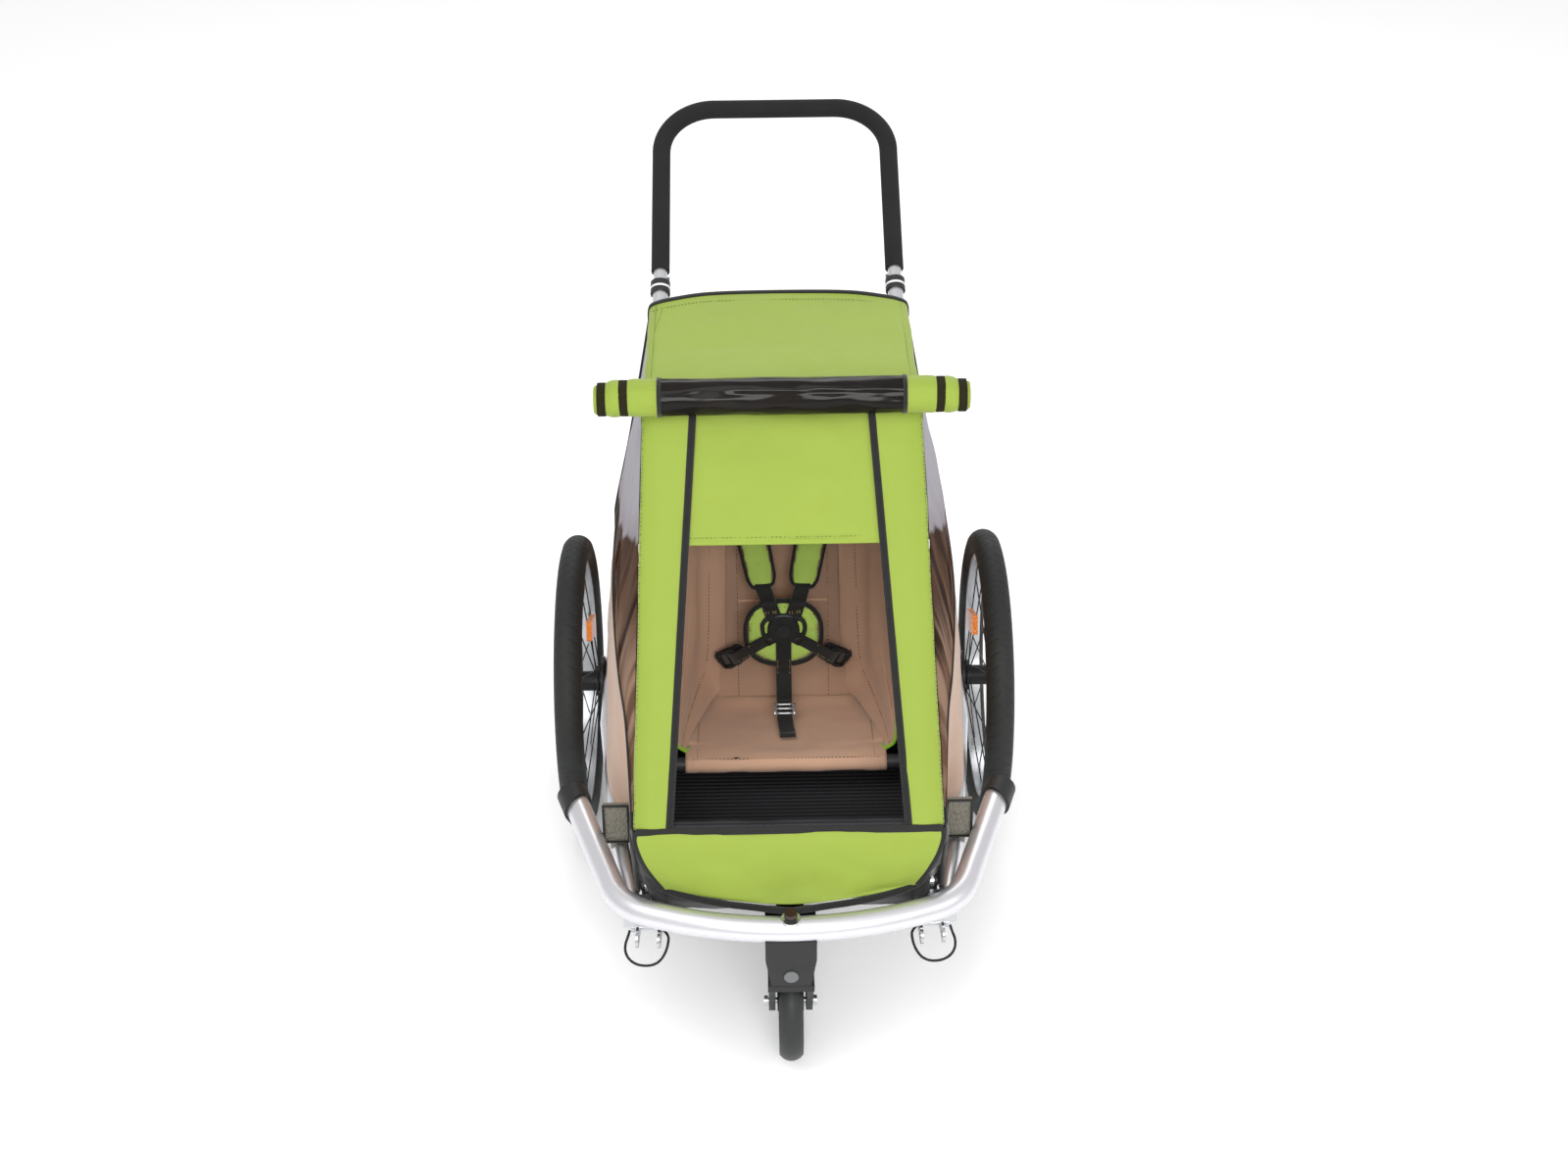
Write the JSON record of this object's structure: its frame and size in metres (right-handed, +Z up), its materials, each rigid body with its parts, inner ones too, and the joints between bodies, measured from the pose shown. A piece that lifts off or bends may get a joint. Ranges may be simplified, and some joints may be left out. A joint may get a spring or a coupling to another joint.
{
  "type": "child bicycle trailer with push bar and caster wheel",
  "caption": "Folding child bicycle trailer in stroller trim: tube base and cage, fabric cabin with seat and harness, quick-release wheels, swivel caster, curved bumper and push bar.",
  "frame": {"origin": "bottom centre of the bounding box, on the ground", "axes": "+Z up, front of the trailer towards -Y, +X to the right seen from the front"},
  "size_m": [0.74, 1.2234, 1.077],
  "materials": {
    "tyre_rubber": "matt black rubber with a shallow diagonal tread",
    "rim_silver": "silver anodised, brushed",
    "spoke_black": "black",
    "black_alloy": "satin black",
    "reflector_orange": "moulded prismatic plastic",
    "steel": "zinc plated, brushed",
    "black_plastic": "fine-grained moulded plastic",
    "grey_plastic": "fine-grained glass-filled plastic",
    "button_grey": "satin moulded plastic",
    "caster_rubber": "satin black rubber",
    "satin_alloy": "satin anodised, near white",
    "rail_alloy": "satin anodised",
    "hook_brown": "moulded plastic",
    "reflector_white": "moulded prismatic plastic",
    "tether_black": "rubber-coated cord",
    "foam_grip": "closed-cell foam",
    "floor_black": "coated black cloth, ribbed",
    "cover_green": "coated woven cloth, bright green",
    "clear_vinyl": "rolled clear vinyl over dark mesh",
    "side_brown": "coated woven cloth, light brown",
    "seat_tube_grey": "dark grey powder coat",
    "seat_brown": "woven cloth, light brown",
    "strap_black": "woven webbing",
    "buckle_grey": "moulded plastic"
  },
  "bodies": {
    "base": {"caster_bracket": "grey_plastic", "bumper_tube": "satin_alloy", "bumper_caps": "black_plastic", "cover_hook": "hook_brown", "front_reflectors": "reflector_white", "side_rails": "rail_alloy", "cross_tubes": "rail_alloy", "hub_receivers": "black_plastic", "frame_hinge_lugs": "grey_plastic", "drawbar_brackets": "steel", "pin_tether_left": "tether_black", "pin_tether_right": "tether_black", "axle_left": "steel", "axle_right": "steel", "floor_panel": "floor_black", "side_panel_left": "side_brown", "side_panel_right": "side_brown", "back_wall": "side_brown", "seat_front_tube": "seat_tube_grey", "seat_pan": "seat_brown", "seat_back": "seat_brown", "seat_wings": "seat_brown", "harness": "strap_black", "buckle": "black_plastic"},
    "wheel_left": {"tyre_left": "tyre_rubber", "rim_left": "rim_silver", "spokes_left": "spoke_black", "hub_left": "black_alloy", "wheel_reflector_left": "reflector_orange"},
    "wheel_right": {"tyre_right": "tyre_rubber", "rim_right": "rim_silver", "spokes_right": "spoke_black", "hub_right": "black_alloy", "wheel_reflector_right": "reflector_orange"},
    "axle_button_left": {"axle_button_left": "black_plastic"},
    "axle_button_right": {"axle_button_right": "black_plastic"},
    "caster_fork": {"caster_fork": "grey_plastic", "caster_axle": "steel"},
    "caster_wheel": {"caster_rim": "grey_plastic", "caster_tyre": "caster_rubber"},
    "caster_release_button": {"caster_release_button": "button_grey"},
    "drawbar_pin_left": {"drawbar_pin_left": "steel"},
    "drawbar_pin_right": {"drawbar_pin_right": "steel"},
    "cage": {"cage_tubes": "rail_alloy", "cage_crossbars": "rail_alloy", "push_bar_sockets": "black_plastic", "nose_panel": "cover_green", "window_surround": "cover_green", "sunshade": "cover_green", "roof_panel": "cover_green", "rolled_cover": "clear_vinyl"},
    "rear_frame": {"rear_frame": "rail_alloy"},
    "push_bar": {"push_bar_tube": "rail_alloy", "push_bar_grip": "foam_grip"},
    "push_bar_button_left": {"push_bar_button_left": "button_grey"},
    "push_bar_button_right": {"push_bar_button_right": "button_grey"},
    "brake_pedal": {"brake_pedal": "black_plastic"},
    "brake_pin_left": {"brake_pin_left": "steel"},
    "brake_pin_right": {"brake_pin_right": "steel"},
    "buckle_button": {"buckle_button": "buckle_grey"}
  },
  "joints": [
    {"name": "wheel_left_spin", "type": "hinge", "parent": "base", "child": "wheel_left", "pos_m": [-0.346, 0.0713, 0.25], "axis": [1, 0, 0], "continuous": true},
    {"name": "wheel_right_spin", "type": "hinge", "parent": "base", "child": "wheel_right", "pos_m": [0.346, 0.0713, 0.25], "axis": [1, 0, 0], "continuous": true},
    {"name": "axle_button_left_press", "type": "slide", "parent": "base", "child": "axle_button_left", "axis": [1, 0, 0], "range_m": [0, 0.004], "stiffness_N_per_m": 300},
    {"name": "axle_button_right_press", "type": "slide", "parent": "base", "child": "axle_button_right", "axis": [-1, 0, 0], "range_m": [0, 0.004], "stiffness_N_per_m": 300},
    {"name": "caster_swivel", "type": "hinge", "parent": "base", "child": "caster_fork", "pos_m": [0, -0.5687, 0.2], "axis": [0, 0, 1], "continuous": true},
    {"name": "caster_spin", "type": "hinge", "parent": "caster_fork", "child": "caster_wheel", "pos_m": [0, -0.5217, 0.09], "axis": [1, 0, 0], "continuous": true},
    {"name": "caster_release_press", "type": "slide", "parent": "base", "child": "caster_release_button", "axis": [0, 1, 0], "range_m": [0, 0.004], "stiffness_N_per_m": 300},
    {"name": "drawbar_pin_left_pull", "type": "slide", "parent": "base", "child": "drawbar_pin_left", "axis": [-0.9976, 0.0698, 0], "range_m": [0, 0.03], "deforming": ["pin_tether_left"]},
    {"name": "drawbar_pin_right_pull", "type": "slide", "parent": "base", "child": "drawbar_pin_right", "axis": [0.9976, 0.0698, 0], "range_m": [0, 0.03], "deforming": ["pin_tether_right"]},
    {"name": "cage_fold", "type": "hinge", "parent": "base", "child": "cage", "pos_m": [0, -0.4887, 0.302], "axis": [1, 0, 0], "range_deg": [-33, 0], "deforming": ["side_panel_left", "side_panel_right", "back_wall", "seat_back", "seat_wings", "harness"]},
    {"name": "rear_frame_fold", "type": "hinge", "parent": "base", "child": "rear_frame", "pos_m": [0, 0.4043, 0.302], "axis": [1, 0, 0], "range_deg": [0, 66.1], "deforming": ["side_panel_left", "side_panel_right", "back_wall", "seat_back", "seat_wings", "harness"]},
    {"name": "push_bar_slide", "type": "slide", "parent": "cage", "child": "push_bar", "axis": [0, 0.8704, 0.4924], "range_m": [0, 0.03]},
    {"name": "push_bar_button_left_press", "type": "slide", "parent": "push_bar", "child": "push_bar_button_left", "axis": [-1, 0, 0], "range_m": [0, 0.003], "stiffness_N_per_m": 300},
    {"name": "push_bar_button_right_press", "type": "slide", "parent": "push_bar", "child": "push_bar_button_right", "axis": [1, 0, 0], "range_m": [0, 0.003], "stiffness_N_per_m": 300},
    {"name": "brake_pedal_press", "type": "hinge", "parent": "base", "child": "brake_pedal", "pos_m": [0, 0.4283, 0.251], "axis": [1, 0, 0], "range_deg": [-15, 0]},
    {"name": "brake_pin_left_slide", "type": "slide", "parent": "base", "child": "brake_pin_left", "axis": [-1, 0, 0], "range_m": [0, 0.007]},
    {"name": "brake_pin_right_slide", "type": "slide", "parent": "base", "child": "brake_pin_right", "axis": [1, 0, 0], "range_m": [0, 0.007]},
    {"name": "buckle_button_press", "type": "slide", "parent": "base", "child": "buckle_button", "axis": [0, 0.9848, -0.1736], "range_m": [0, 0.003], "stiffness_N_per_m": 300}
  ],
  "couplings": [
    {"joint": "rear_frame_fold", "follows": "cage_fold", "ratio": -2.003},
    {"joint": "brake_pin_left_slide", "follows": "brake_pedal_press", "m_per_rad": -0.0267},
    {"joint": "brake_pin_right_slide", "follows": "brake_pedal_press", "m_per_rad": -0.0267}
  ]
}
